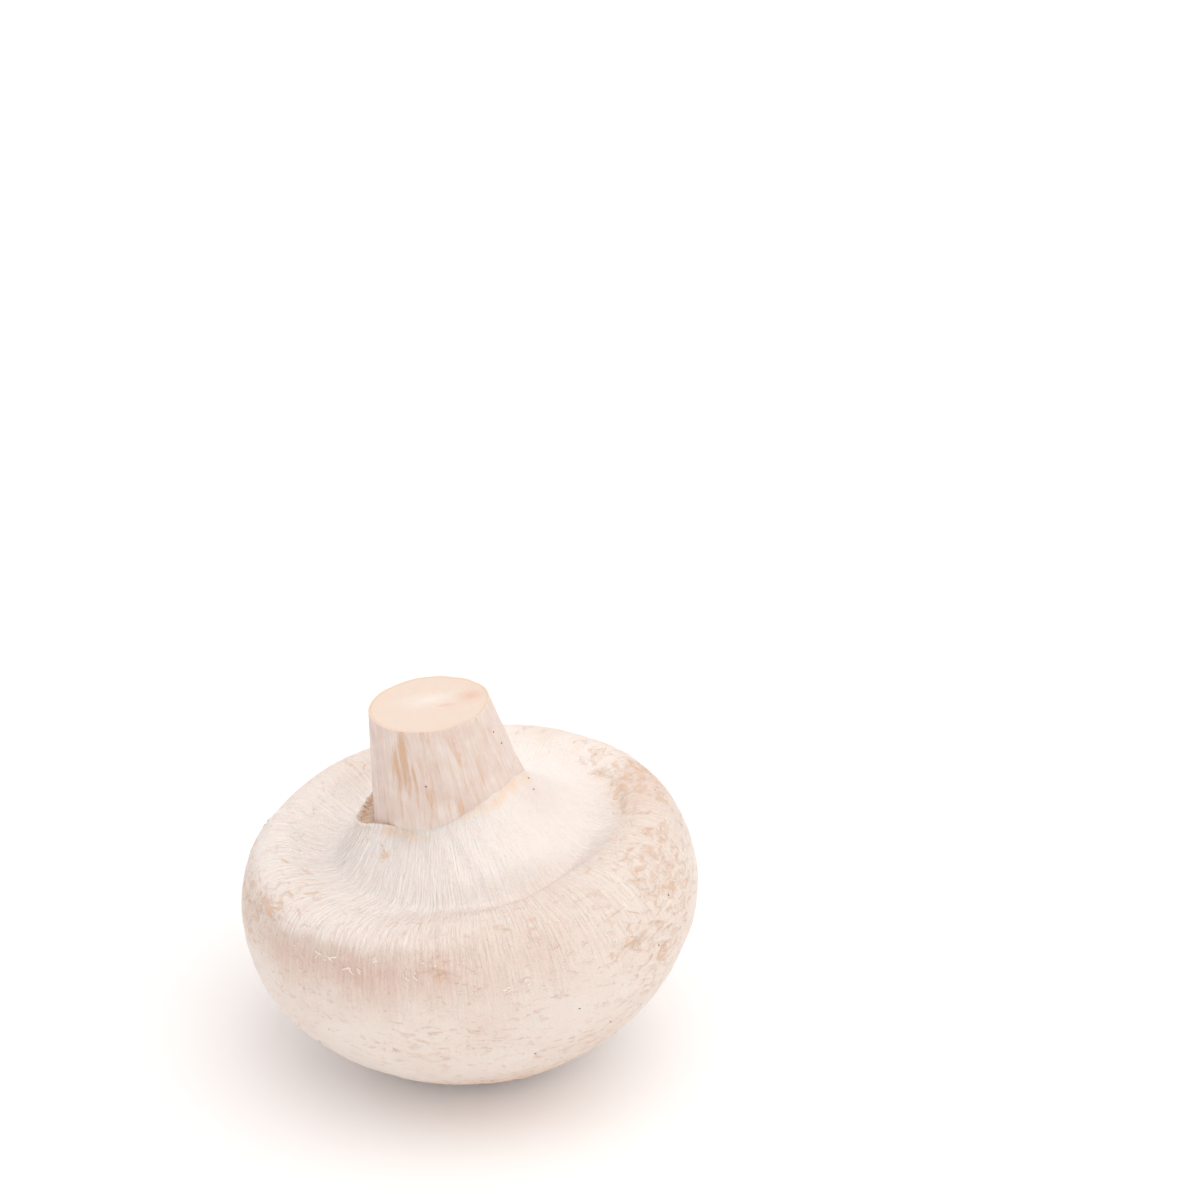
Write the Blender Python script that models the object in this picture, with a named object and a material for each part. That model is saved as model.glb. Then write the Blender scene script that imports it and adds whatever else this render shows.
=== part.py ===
"""White button mushroom, picked and trimmed, lying on the crown of its closed cap with the cut stem up.

The three pieces that a cook can part by hand are separate solids: the cap with its rolled-in rim and the socket
that the stem snaps out of, the veil that is still stretched from rim to stem, and the trimmed stem.
Shapes are worked out in millimetres in the cap's own frame: +Z runs from crown to stem, z = 0 is halfway up the
cap, and azimuth 0 is +X. One empty then leans the whole mushroom and stands it on the table.
"""

import math

import bmesh
import bpy
from mathutils import Matrix, Vector

MM = 0.001
GAP = 0.3  # clearance between neighbouring pieces
AROUND = 72  # points in each ring

# Cap
CAP_RADIUS = 24.8  # at its widest ring
CAP_BROADER = 0.008  # share by which the widest ring is broader across, and narrower front to back
CAP_SHOULDERS = 0.006  # share by which three faint shoulders swell it
WIDEST_HEIGHT = 0.9
CROWN_DEPTH = 18.7  # from the widest ring down to the crown
CROWN_FLATNESS = 2.3  # exponents of the crown's superellipse: 2 and 2 would be an ellipse
SHOULDER_FULLNESS = 1.6
RIM_RISE = 9.3  # from the widest ring up to the crest of the rolled rim
RIM_DIP = (0.5, -120, 50)  # the crest dips by this much, about this azimuth, this wide
CREST_RADIUS = 20.2
RESTING_SPOT_DEPTH = 0.5  # what the flattened spot takes off the crown

# Groove, where the rim turns into the veil
GROOVE_RADIUS = 14.4
GROOVE_HEIGHT = 8.6
GROOVE_REACH = ((3.0, 20, 45), (0.8, 120, 50))  # it runs further out here: size, azimuth, width
GROOVE_RISE = ((0.8, 25, 45), (-0.8, 160, 50))  # and lies higher or lower here

# Veil
VEIL_THICKNESS = 0.9
VEIL_EDGE_HEIGHT = 15.0  # where the veil ends on the stem, on average
VEIL_EDGE_LEAN = 2.2  # it ends this much higher at the front right, and lower at the back left
VEIL_EDGE_HIGHEST = math.radians(-30)
VEIL_EDGE_DIPS = ((-1.3, -115, 28), (-0.9, 175, 30))
VEIL_TEAR = ((0.8, 175, 30),)  # torn loose, it stands this much further off the stem
VEIL_BULGE = (0.8, -20, 75)  # how far its section bulges rather than sags, on top of an even fifth
LEDGE_DROP = 2.6  # from the veil's top down to the cap's flesh, which clears its underside on the steepest part

# Stem
STEM_CUT_RADIUS = 6.5
STEM_FLARE = 0.17  # growth in radius for each millimetre down towards the cap
STEM_LEAN = math.radians(4.2)  # off the cap's axis, towards -X
STEM_START_HEIGHT = 8.0  # the stem's axis leaves the cap's axis here
FLUTE_DEPTH = 0.5
FLUTES = 3
CUT_HEIGHT = 25.5
SOCKET_FLOOR = 3.0

# Pose on the table
CAP_LEAN = math.radians(6.9)  # the cap's axis leans towards -X
CUT_LEAN_X = math.radians(1.4)  # the knife's plane against the cap's, leaning back towards +X
CUT_LEAN_Y = math.radians(2.8)  # and away, towards +Y


def swell(azimuth, size, centre, width):
    """A smooth bump round the ring, centred at an azimuth in degrees and about that wide."""
    off = math.atan2(math.sin(azimuth - math.radians(centre)), math.cos(azimuth - math.radians(centre)))
    return size * math.exp(-((math.degrees(off) / width) ** 2))


def swells(azimuth, bumps):
    return sum(swell(azimuth, *bump) for bump in bumps)


def cap_radius(azimuth):
    broader = CAP_BROADER * math.cos(2 * azimuth)
    shoulders = CAP_SHOULDERS * math.cos(3 * azimuth + 0.9)
    return CAP_RADIUS * (1 + broader + shoulders)


def crest_height(azimuth):
    return WIDEST_HEIGHT + RIM_RISE - swell(azimuth, *RIM_DIP)


def groove_radius(azimuth):
    return GROOVE_RADIUS + swells(azimuth, GROOVE_REACH)


def groove_height(azimuth):
    return GROOVE_HEIGHT + swells(azimuth, GROOVE_RISE)


def around_cap(azimuth, radius, height):
    return Vector((radius * math.cos(azimuth), radius * math.sin(azimuth), height))


def stem_centre(height):
    return Vector((-(height - STEM_START_HEIGHT) * math.tan(STEM_LEAN), 0, height))


def around_stem(azimuth, height, clearance):
    """A point beside the stem, at a clearance from its skin."""
    radius = STEM_CUT_RADIUS + STEM_FLARE * (CUT_HEIGHT - height) + clearance
    return stem_centre(height) + around_cap(azimuth, radius, 0)


def crown_point(azimuth, angle):
    """The skin from the crown, at angle 0, to the widest ring, at a quarter turn."""
    radius = cap_radius(azimuth) * math.sin(angle) ** (2 / CROWN_FLATNESS)
    drop = CROWN_DEPTH * math.cos(angle) ** (2 / SHOULDER_FULLNESS)
    return around_cap(azimuth, radius, WIDEST_HEIGHT - drop)


def rim_point(azimuth, angle):
    """The skin from the widest ring, at angle 0, up to the crest of the rim, at a quarter turn."""
    radius = CREST_RADIUS + (cap_radius(azimuth) - CREST_RADIUS) * math.cos(angle)
    rise = (crest_height(azimuth) - WIDEST_HEIGHT) * math.sin(angle)
    return around_cap(azimuth, radius, WIDEST_HEIGHT + rise)


def lip_point(azimuth, share):
    """The rolled-in lip from the crest, at share 0, down to the groove, at share 1."""
    radius = CREST_RADIUS + (groove_radius(azimuth) - CREST_RADIUS) * share
    drop = (crest_height(azimuth) - groove_height(azimuth)) * (1 - math.cos(math.pi * share)) / 2
    return around_cap(azimuth, radius, crest_height(azimuth) - drop)


def veil_edge(azimuth):
    """The veil's free edge: high against the stem at the front right, and standing off it where it has torn."""
    lean = VEIL_EDGE_LEAN * math.cos(azimuth - VEIL_EDGE_HIGHEST)
    height = VEIL_EDGE_HEIGHT + lean + swells(azimuth, VEIL_EDGE_DIPS)
    return around_stem(azimuth, height, GAP + VEIL_THICKNESS + swells(azimuth, VEIL_TEAR))


def veil_top(azimuth, share):
    """The veil's top from the groove, at share 0, to its free edge, at share 1.

    Its section bulges on the right and sags on the left.
    """
    start = around_cap(azimuth, groove_radius(azimuth) - GAP, groove_height(azimuth))
    end = veil_edge(azimuth)
    fullness = 0.2 + swell(azimuth, *VEIL_BULGE)
    bulging = 1 - (1 - share) ** 1.5
    sagging = share**1.5
    point = start.lerp(end, share)
    point.z = start.z + (end.z - start.z) * (fullness * bulging + (1 - fullness) * sagging)
    return point


def veil_underside(azimuth, share):
    """The point one thickness below the veil's top, square to it."""
    step = 1e-3
    along = veil_top(azimuth, min(share + step, 1)) - veil_top(azimuth, max(share - step, 0))
    around = veil_top(azimuth + step, share) - veil_top(azimuth - step, share)
    return veil_top(azimuth, share) - around.cross(along).normalized() * VEIL_THICKNESS


def ledge_point(azimuth, share):
    """The cap's flesh under the veil, from the groove at share 0 in towards the stem at share 1."""
    outwards = around_cap(azimuth, GAP * (1 - share), 0)
    return veil_top(azimuth, share) + outwards - Vector((0, 0, LEDGE_DROP))


def socket_point(azimuth, share):
    """The socket's wall, from its mouth at share 0 to its floor at share 1."""
    mouth = ledge_point(azimuth, 1).z
    return around_stem(azimuth, mouth + (SOCKET_FLOOR - mouth) * share, GAP)


def stem_point(azimuth, height):
    """The stem's skin, with shallow flutes that grow towards the cut."""
    depth = FLUTE_DEPTH * (height - SOCKET_FLOOR) / (CUT_HEIGHT - SOCKET_FLOOR)
    return around_stem(azimuth, height, -depth * (1 + math.cos(FLUTES * azimuth + 0.6)) / 2)


def shares(count, start=0.0, end=1.0):
    """Evenly spaced values from start to end, count steps apart."""
    return [start + (end - start) * step / count for step in range(count + 1)]


def ring_of(point_at, where):
    """One ring of points, point_at(azimuth, where) all the way round."""
    return [point_at(azimuth, where) for azimuth in shares(AROUND, 0, math.tau)[:-1]]


def skin_over(rings, endless=False):
    """A closed skin over rings of points, as a new bmesh.

    Bands of quads join the rings. An endless skin also joins the last ring to the first, as on a tube bent into a
    ring, and any other skin gets a flat face over each end.
    """
    bm = bmesh.new()
    loops = [[bm.verts.new(point * MM) for point in ring] for ring in rings]
    followers = loops[1:] + loops[:1] if endless else loops[1:]
    for loop, follower in zip(loops, followers):
        for i in range(AROUND):
            j = (i + 1) % AROUND
            bm.faces.new((loop[i], loop[j], follower[j], follower[i]))
    if not endless:
        bm.faces.new(loops[0])
        bm.faces.new(loops[-1])
    bmesh.ops.recalc_face_normals(bm, faces=bm.faces)
    return bm


def sliced(bm, point, normal):
    """Takes off everything beyond a plane, and closes the cut with one flat face."""
    everything = bm.verts[:] + bm.edges[:] + bm.faces[:]
    cut = bmesh.ops.bisect_plane(bm, geom=everything, plane_co=point, plane_no=normal, clear_outer=True)
    cut_edges = [item for item in cut["geom_cut"] if isinstance(item, bmesh.types.BMEdge)]
    bmesh.ops.contextual_create(bm, geom=cut_edges)
    bmesh.ops.recalc_face_normals(bm, faces=bm.faces)
    return bm


def cap_mesh(down):
    """The cap, with a flat spot where it meets the table, on the side that faces down."""
    quarter = math.pi / 2
    rings = [ring_of(crown_point, angle * quarter) for angle in shares(18, 0.02)]
    rings += [ring_of(rim_point, angle * quarter) for angle in shares(7)[1:]]
    rings += [ring_of(lip_point, share) for share in shares(4)[1:]]
    rings += [ring_of(ledge_point, share) for share in shares(4)]
    rings += [ring_of(socket_point, share) for share in shares(3)]
    lowest = max(down.dot(point) for ring in rings for point in ring)
    return sliced(skin_over(rings), down * (lowest - RESTING_SPOT_DEPTH) * MM, down)


def veil_mesh():
    """The veil: in along its top and back along its underside, all the way round."""
    top = [ring_of(veil_top, share) for share in shares(9)]
    underside = [ring_of(veil_underside, share) for share in shares(9)]
    return skin_over(top + underside[::-1], endless=True)


def stem_mesh():
    """The stem from its foot in the socket up to the knife's cut."""
    foot = SOCKET_FLOOR + GAP
    uncut = CUT_HEIGHT + 2.0
    rings = [ring_of(stem_point, height) for height in shares(14, foot, uncut)]
    knife = Matrix.Rotation(CUT_LEAN_X, 3, "Y") @ Matrix.Rotation(-CUT_LEAN_Y, 3, "X")
    return sliced(skin_over(rings), stem_centre(CUT_HEIGHT) * MM, knife @ Vector((0, 0, 1)))


def flesh(name, colour, roughness):
    """A matt, slightly damp mushroom surface."""
    material = bpy.data.materials.new(name)
    material.use_nodes = True
    shader = material.node_tree.nodes["Principled BSDF"]
    shader.inputs["Base Color"].default_value = (*colour, 1)
    shader.inputs["Roughness"].default_value = roughness
    shader.inputs["Metallic"].default_value = 0.0
    return material


def piece(name, bm, material, carrier):
    """One named object from a bmesh, shaded smooth apart from its cut edges."""
    mesh = bpy.data.meshes.new(name)
    bm.to_mesh(mesh)
    bm.free()
    mesh.shade_smooth()
    mesh.set_sharp_from_angle(angle=math.radians(40))
    mesh.materials.append(material)
    made = bpy.data.objects.new(name, mesh)
    bpy.context.scene.collection.objects.link(made)
    made.parent = carrier
    return made


def stand_on_table(carrier, pieces):
    """Moves the carrier so that the middle of the mushroom's box, at its lowest, is the origin."""
    turn = carrier.rotation_euler.to_matrix()
    corners = [turn @ vertex.co for made in pieces for vertex in made.data.vertices]
    low = Vector(min(corner[axis] for corner in corners) for axis in range(3))
    high = Vector(max(corner[axis] for corner in corners) for axis in range(3))
    carrier.location = Vector((-(low.x + high.x) / 2, -(low.y + high.y) / 2, -low.z))


def main():
    for old in list(bpy.data.objects):
        bpy.data.objects.remove(old)
    carrier = bpy.data.objects.new("mushroom", None)
    bpy.context.scene.collection.objects.link(carrier)
    carrier.rotation_euler = (0, -CAP_LEAN, 0)
    down = carrier.rotation_euler.to_matrix().inverted() @ Vector((0, 0, -1))
    pieces = (
        piece("cap", cap_mesh(down), flesh("cap_skin", (0.84, 0.74, 0.66), 0.6), carrier),
        piece("veil", veil_mesh(), flesh("veil_film", (0.90, 0.84, 0.78), 0.5), carrier),
        piece("stem", stem_mesh(), flesh("stem_flesh", (0.78, 0.67, 0.58), 0.55), carrier),
    )
    stand_on_table(carrier, pieces)


main()
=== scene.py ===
"""White button mushroom on a white table, lying on the crown of its cap with the trimmed stem up.

Every skin is worked out in millimetres in the cap's own frame, as in the CAD model: +Z runs from crown to
stem, z = 0 is just under the cap's widest ring and azimuth 0 is +X. on_table() then leans the mushroom and
stands it where the CAD model stands.
"""

import math

import bmesh
import bpy
import numpy as np
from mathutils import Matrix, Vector, noise
from mathutils.bvhtree import BVHTree


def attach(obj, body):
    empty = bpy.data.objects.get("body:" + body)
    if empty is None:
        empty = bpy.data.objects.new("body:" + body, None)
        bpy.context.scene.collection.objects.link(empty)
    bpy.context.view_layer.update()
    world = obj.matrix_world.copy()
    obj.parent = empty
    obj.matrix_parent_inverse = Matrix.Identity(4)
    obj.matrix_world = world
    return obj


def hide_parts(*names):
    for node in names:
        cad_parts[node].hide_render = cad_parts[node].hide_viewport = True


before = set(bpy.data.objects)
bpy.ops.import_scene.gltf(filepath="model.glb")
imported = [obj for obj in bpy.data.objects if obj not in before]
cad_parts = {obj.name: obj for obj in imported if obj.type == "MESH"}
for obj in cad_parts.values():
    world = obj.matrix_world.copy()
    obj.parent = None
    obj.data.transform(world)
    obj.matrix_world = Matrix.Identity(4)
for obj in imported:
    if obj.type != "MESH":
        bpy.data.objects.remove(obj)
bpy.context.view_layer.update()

MM = 0.001

# The CAD model's own sizes, repeated in millimetres
CAP_LEAN = math.radians(6.9)
CAP_MIDDLE = (0.068, -0.117, 17.475)  # where the cap's frame stands on the table
CAP_RADIUS = 24.8
WIDEST_HEIGHT = 0.9
CROWN_DEPTH = 18.7
CROWN_FLATNESS = 2.3
SHOULDER_FULLNESS = 1.6
RIM_RISE = 9.3
CREST_RADIUS = 20.2
GROOVE_RADIUS = 14.4
GROOVE_HEIGHT = 8.6
VEIL_EDGE_HEIGHT = 12.4  # where the veil clings lowest to the stem
TORN_STANDOFF = 1.7  # how far the veil's torn corner stands off the stem
STEM_CUT_RADIUS = 6.5
STEM_FLARE = 0.17
STEM_LEAN = math.radians(4.2)
STEM_START_HEIGHT = 8.0
CUT_HEIGHT = 25.5
CUT_LEAN_X = math.radians(1.4)
CUT_LEAN_Y = math.radians(2.8)
SOCKET_FLOOR = 3.0
STEM_FOOT = SOCKET_FLOOR + 0.3

# How the shown skins meet, closer than the CAD model's solids do
VEIL_CLEARANCE = 0.03
SOCKET_CLEARANCE = 0.05
LIP_DIVE = 0.9  # how far the cap's lip goes down under the veil's hem
LEDGE_DEPTH = 1.9  # how far the cap lies under the veil
HEM_THICKNESS = 0.9
VEIL_THICKNESS = 1.7  # at the stem

QUARTER = math.pi / 2

# The fineness of the cap's and veil's shared outside
AROUND = 640
CROWN_RINGS = 60
RIM_RINGS = 56
LIP_RINGS = 20
VEIL_RINGS = 50
LIP_START = CROWN_RINGS + RIM_RINGS
VEIL_START = LIP_START + LIP_RINGS
JOIN = 0.35  # how far down the lip the veil's hem comes out of the cap

# The veil's lining behind its edge: how far down and towards the stem each ring lies
LINING = ((0.1, 0.2), (0.45, 0.5), (0.3, 1.76))
LINING_STAIN = 0.8

# The fineness of the stem
STEM_AROUND = 400
STEM_RINGS = 110
CUT_RINGS = 39

SHARP_ANGLE = math.radians(50)


# ---------------------------------------------------------------- shapes round the ring


def turn_from(azimuth, centre):
    """Degrees round the ring from a centre azimuth, between -180 and 180."""
    off = azimuth - math.radians(centre)
    return np.degrees(np.arctan2(np.sin(off), np.cos(off)))


def bump_round(azimuth, size, centre, before, after=None):
    """A smooth bump round the ring, centred at an azimuth in degrees, this wide before and after it."""
    off = turn_from(azimuth, centre)
    return size * np.exp(-((off / np.where(off < 0, before, after or before)) ** 2))


def tent_round(azimuth, centre, before, after):
    """1 at an azimuth in degrees, falling straight to 0 this far before and after it."""
    off = turn_from(azimuth, centre)
    return np.clip(1 - np.where(off < 0, -off / before, off / after), 0, 1)


def ease(value, low, high):
    """0 below low, 1 above high and smooth between."""
    share = np.clip((value - low) / (high - low), 0, 1)
    return share * share * (3 - 2 * share)


def polar(azimuth, radius, height):
    return np.stack(np.broadcast_arrays(radius * np.cos(azimuth), radius * np.sin(azimuth), height), -1)


def cap_radius(azimuth):
    return CAP_RADIUS * (1 + 0.008 * np.cos(2 * azimuth) + 0.006 * np.cos(3 * azimuth + 0.9))


def crest_height(azimuth):
    return WIDEST_HEIGHT + RIM_RISE - bump_round(azimuth, 0.5, -120, 50) - bump_round(azimuth, 0.9, -50, 45)


def crest_radius(azimuth):
    """The crest runs far out at the left and back, and close to the veil at the front right."""
    return CREST_RADIUS - bump_round(azimuth, 4.0, -50, 42) + bump_round(azimuth, 0.5, -150, 40)


def groove_radius(azimuth):
    return GROOVE_RADIUS + bump_round(azimuth, 0.9, 10, 35) - bump_round(azimuth, 0.6, -75, 30)


def groove_height(azimuth):
    height = GROOVE_HEIGHT + bump_round(azimuth, 0.7, 25, 45) - bump_round(azimuth, 0.9, 155, 45)
    return height - bump_round(azimuth, 0.8, -60, 26) + bump_round(azimuth, 0.6, -150, 36)


def stem_skin(azimuth, height, clearance=0.0):
    """A point beside the stem, at a clearance from its skin."""
    radius = STEM_CUT_RADIUS + STEM_FLARE * (CUT_HEIGHT - height) + clearance
    point = polar(azimuth, radius, height)
    point[..., 0] -= (height - STEM_START_HEIGHT) * math.tan(STEM_LEAN)
    return point


def crown(azimuth, angle):
    """The skin from the crown, at angle 0, to the widest ring, at a quarter turn."""
    radius = cap_radius(azimuth) * np.sin(angle) ** (2 / CROWN_FLATNESS)
    depth = CROWN_DEPTH * np.cos(angle).clip(0) ** (2 / SHOULDER_FULLNESS)
    return polar(azimuth, radius, WIDEST_HEIGHT - depth)


def rim(azimuth, angle):
    """The skin from the widest ring, at angle 0, up to the crest of the rim, at a quarter turn."""
    crest = crest_radius(azimuth)
    fullness = 2 / (2.05 + bump_round(azimuth, 0.35, -140, 45))
    radius = crest + (cap_radius(azimuth) - crest) * np.cos(angle).clip(0) ** fullness
    rise = (crest_height(azimuth) - WIDEST_HEIGHT) * np.sin(angle) ** fullness
    return polar(azimuth, radius, WIDEST_HEIGHT + rise)


def lip(azimuth, share):
    """The rolled-in lip from the crest, at share 0, down to the groove, at share 1."""
    radius = crest_radius(azimuth) + (groove_radius(azimuth) - crest_radius(azimuth)) * share
    drop = (crest_height(azimuth) - groove_height(azimuth)) * (1 - np.cos(math.pi * share)) / 2
    return polar(azimuth, radius, crest_height(azimuth) - drop)


def torn(azimuth):
    """1 at the corner where the veil is torn off the stem, 0 where it clings to it."""
    return tent_round(azimuth, 178, 34, 54)


def frayed(azimuth):
    """How far single fibres of the torn lip stand up or lie down, in millimetres."""
    return 0.16 * np.sin(83 * azimuth) * np.sin(21 * azimuth + 1) + 0.1 * np.sin(131 * azimuth + 2)


def veil_edge(azimuth, lower=0.0, inner=0.0):
    """Where the veil ends: on the stem, and standing off it at the torn corner.

    lower and inner move the point down and towards the stem, in millimetres.
    """
    height = VEIL_EDGE_HEIGHT + bump_round(azimuth, 5.2, -32, 82, 55) + bump_round(azimuth, 0.25, -122, 18)
    height += bump_round(azimuth, 1.2, 155, 14) + bump_round(azimuth, 1.3, -146, 23)
    height += (frayed(azimuth) - 0.7) * torn(azimuth)
    standoff = (TORN_STANDOFF + 0.8 * frayed(azimuth) - inner) * torn(azimuth)
    return stem_skin(azimuth, height - lower, VEIL_CLEARANCE + standoff)


def veil(azimuth, share):
    """The veil from the groove, at share 0, to its edge at the stem, at share 1.

    It rolls up out of the groove, lies flatter and then climbs the stem.
    """
    start = polar(azimuth, groove_radius(azimuth), groove_height(azimuth))
    end = veil_edge(azimuth)
    roll = bump_round(azimuth, 1.7, -60, 38) + 0.03
    rolled = roll * (1 - np.exp(-((share / 0.2) ** 2)))
    climb = share ** (1.25 + bump_round(azimuth, 0.5, 150, 55) + bump_round(azimuth, 0.2, -45, 50))
    point = start + (end - start) * np.asarray(share)[..., None]
    point[..., 2] = start[..., 2] + rolled + (end[..., 2] - start[..., 2] - rolled) * climb
    return point


# ---------------------------------------------------------------- meshes from rings of points


def turns(count):
    """Azimuths all the way round, in radians, without repeating the first."""
    return np.arange(count) * math.tau / count


def rings_of(surface, azimuths, steps):
    return np.stack([surface(azimuths, np.full_like(azimuths, step)) for step in steps])


def facing(rings):
    """Unit normals of rings of points, pointing out of the mushroom."""
    along = np.gradient(rings, axis=0)
    around = np.roll(rings, -1, axis=1) - np.roll(rings, 1, axis=1)
    normal = np.cross(around, along)
    return normal / np.linalg.norm(normal, axis=-1, keepdims=True).clip(1e-9)


def rough(points, size, octaves=3, seed=0.0):
    """Smooth noise between about -1 and 1, with lumps of about that size in millimetres."""
    flat = (points.reshape(-1, 3) / size + seed).tolist()
    values = [noise.fractal(point, 0.9, 2.1, octaves) for point in flat]
    return np.array(values).reshape(points.shape[:-1])


def on_table(points):
    """From the cap's own frame, in millimetres, to where the mushroom lies, in metres."""
    x, y, z = points[..., 0], points[..., 1], points[..., 2]
    across = x * math.cos(CAP_LEAN) - z * math.sin(CAP_LEAN)
    up = x * math.sin(CAP_LEAN) + z * math.cos(CAP_LEAN)
    placed = np.stack((across, y, up), -1) + CAP_MIDDLE
    placed[..., 2] = placed[..., 2].clip(0)
    return placed * MM


def along_skin(rings, radius=20.0):
    """Coordinates for fibres, in millimetres: two go round the ring and the third runs up the skin."""
    steps = np.linalg.norm(np.diff(rings, axis=0), axis=-1).mean(1)
    run = np.concatenate([[0], np.cumsum(steps)])
    azimuths = turns(rings.shape[1])
    return polar(azimuths[None, :], radius, run[:, None])


def write_marks(mesh, marks):
    """Stores each mark on the mesh's points, as a number or as a vector of three."""
    for key, value in marks.items():
        vector = value.shape[1] == 3
        made = mesh.attributes.new(key, "FLOAT_VECTOR" if vector else "FLOAT", "POINT")
        made.data.foreach_set("vector" if vector else "value", value.astype(np.float32).ravel())


def shown(name, mesh, materials):
    """The mesh as an object in the scene, shaded smooth and facing out."""
    bm = bmesh.new()
    bm.from_mesh(mesh)
    bmesh.ops.recalc_face_normals(bm, faces=bm.faces)
    bm.to_mesh(mesh)
    bm.free()
    mesh.shade_smooth()
    for material in materials:
        mesh.materials.append(material)
    made = bpy.data.objects.new(name, mesh)
    bpy.context.scene.collection.objects.link(made)
    return made


def skin(name, rings, materials, marks, endless=False, bands=None):
    """A closed mesh over rings of points, with one value per point for each name in marks.

    An endless skin joins its last ring to its first. Any other skin is closed with a fan at each end. bands
    gives the material's number for each band between two rings, the last one also for the fan at the end.
    """
    count, around = rings.shape[:2]
    points = on_table(rings).reshape(-1, 3)
    marks = {key: value.reshape(count * around, -1) for key, value in marks.items()}
    index = np.arange(count * around).reshape(count, around)
    after = np.roll(index, -1, axis=1)
    faces = np.stack([index[:-1], after[:-1], after[1:], index[1:]], -1).reshape(-1, 4).tolist()
    if endless:
        faces += np.stack([index[-1], after[-1], after[0], index[0]], -1).tolist()
    else:
        for ring, follower in ((index[0], after[0]), (index[-1], after[-1])):
            middle = len(points)
            points = np.vstack([points, points[ring].mean(0)])
            marks = {key: np.vstack([value, value[ring].mean(0)]) for key, value in marks.items()}
            faces += [(int(a), int(b), middle) for a, b in zip(ring, follower)]
    mesh = bpy.data.meshes.new(name)
    mesh.from_pydata(points.tolist(), [], faces)
    write_marks(mesh, marks)
    if bands:
        fans = [bands[0]] * around + [bands[-1]] * around
        mesh.polygons.foreach_set("material_index", np.concatenate([np.repeat(bands, around), fans]))
    made = shown(name, mesh, materials)
    mesh.set_sharp_from_angle(angle=SHARP_ANGLE)
    return made


# ---------------------------------------------------------------- materials


def hex_colour(code):
    """An sRGB hex code as a linear colour."""
    shares = [int(code[i : i + 2], 16) / 255 for i in (1, 3, 5)]
    return tuple(s / 12.92 if s <= 0.04045 else ((s + 0.055) / 1.055) ** 2.4 for s in shares) + (1.0,)


def node(tree, kind, inputs=None, **settings):
    """Adds a node with its settings. inputs gives each socket a value, or the output that feeds it."""
    made = tree.nodes.new(kind)
    for name, value in settings.items():
        setattr(made, name, value)
    for socket, value in (inputs or {}).items():
        if isinstance(value, bpy.types.NodeSocket):
            tree.links.new(value, made.inputs[socket])
        else:
            made.inputs[socket].default_value = value
    return made


def empty_material(name):
    material = bpy.data.materials.new(name)
    material.use_nodes = True
    material.node_tree.nodes.clear()
    return material, material.node_tree


SKIN = "#e9dfd7"
SILK_AND_CREST_LIGHT = "#f6eee9"
FLUSH_AND_SHADE = "#dabfb2"
TAN = "#dba87f"
HONEY = "#efd2b8"
BARK = "#eaddd5"
BARK_SHADE = "#ddc8bd"
BARK_BRUISE = "#d3a981"
FLESH = "#e4d1c2"
PITH = "#e9dfd4"
ROSY = "#dfbaa6"
RIND = "#dab893"

FLESH_IOR = 1.4
SCATTER_SHARES = (1.0, 0.6, 0.45)  # red light goes deepest into the flesh
SCATTER_DEPTH = 0.8 * MM
FINE_RELIEF = 0.3 * MM


def lumps_of(size):
    """The scale, on coordinates in metres, of a pattern with lumps this wide in millimetres."""
    return 1 / (size * MM)


def fibres_of(width, length):
    """The stretch, on the grain's millimetres, of a pattern with fibres this wide and this long."""
    return (1 / width, 1 / width, 1 / length)


def skin_fibres(tree):
    """Pressed fibres 0.3 mm wide and some 3 mm long, swirled a little."""
    grain = node(tree, "ShaderNodeAttribute", attribute_name="grain").outputs["Vector"]
    combed = node(tree, "ShaderNodeVectorMath", {0: grain, 1: fibres_of(0.294, 2.78)}, operation="MULTIPLY")
    fibres = node(tree, "ShaderNodeTexNoise", {
        "Vector": combed.outputs[0], "Scale": 1.0, "Detail": 4.0, "Roughness": 0.62, "Distortion": 0.8})
    return fibres.outputs["Fac"]


def flushed_and_shaded_skin(tree, place):
    """White skin, whiter where the veil kept it covered and with painted light on the left crest,
    and tinged pinkish brown in soft drifts 4 mm across, partly as painted shade.
    """
    silk_and_crest_light = node(tree, "ShaderNodeAttribute", attribute_name="silk_and_crest_light").outputs["Fac"]
    flush_and_shade = node(tree, "ShaderNodeAttribute", attribute_name="flush_and_shade").outputs["Fac"]
    clean = node(tree, "ShaderNodeMix", {
        0: silk_and_crest_light, 6: hex_colour(SKIN), 7: hex_colour(SILK_AND_CREST_LIGHT)}, data_type="RGBA")
    drifts = node(tree, "ShaderNodeTexNoise", {
        "Vector": place, "Scale": lumps_of(4.35), "Detail": 6.0, "Roughness": 0.62, "Distortion": 0.8})
    drift = node(tree, "ShaderNodeMapRange", {
        "Value": drifts.outputs["Fac"], "From Min": 0.36, "From Max": 0.64})
    uneven = node(tree, "ShaderNodeMath", {0: drift.outputs[0], 1: 0.4, 2: 0.7}, operation="MULTIPLY_ADD")
    amount = node(tree, "ShaderNodeMath", {
        0: uneven.outputs[0], 1: flush_and_shade}, operation="MULTIPLY", use_clamp=True)
    flushed_and_shaded = node(tree, "ShaderNodeMix", {
        0: amount.outputs[0], 6: clean.outputs[2], 7: hex_colour(FLUSH_AND_SHADE)}, data_type="RGBA")
    return flushed_and_shaded.outputs[2]


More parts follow.
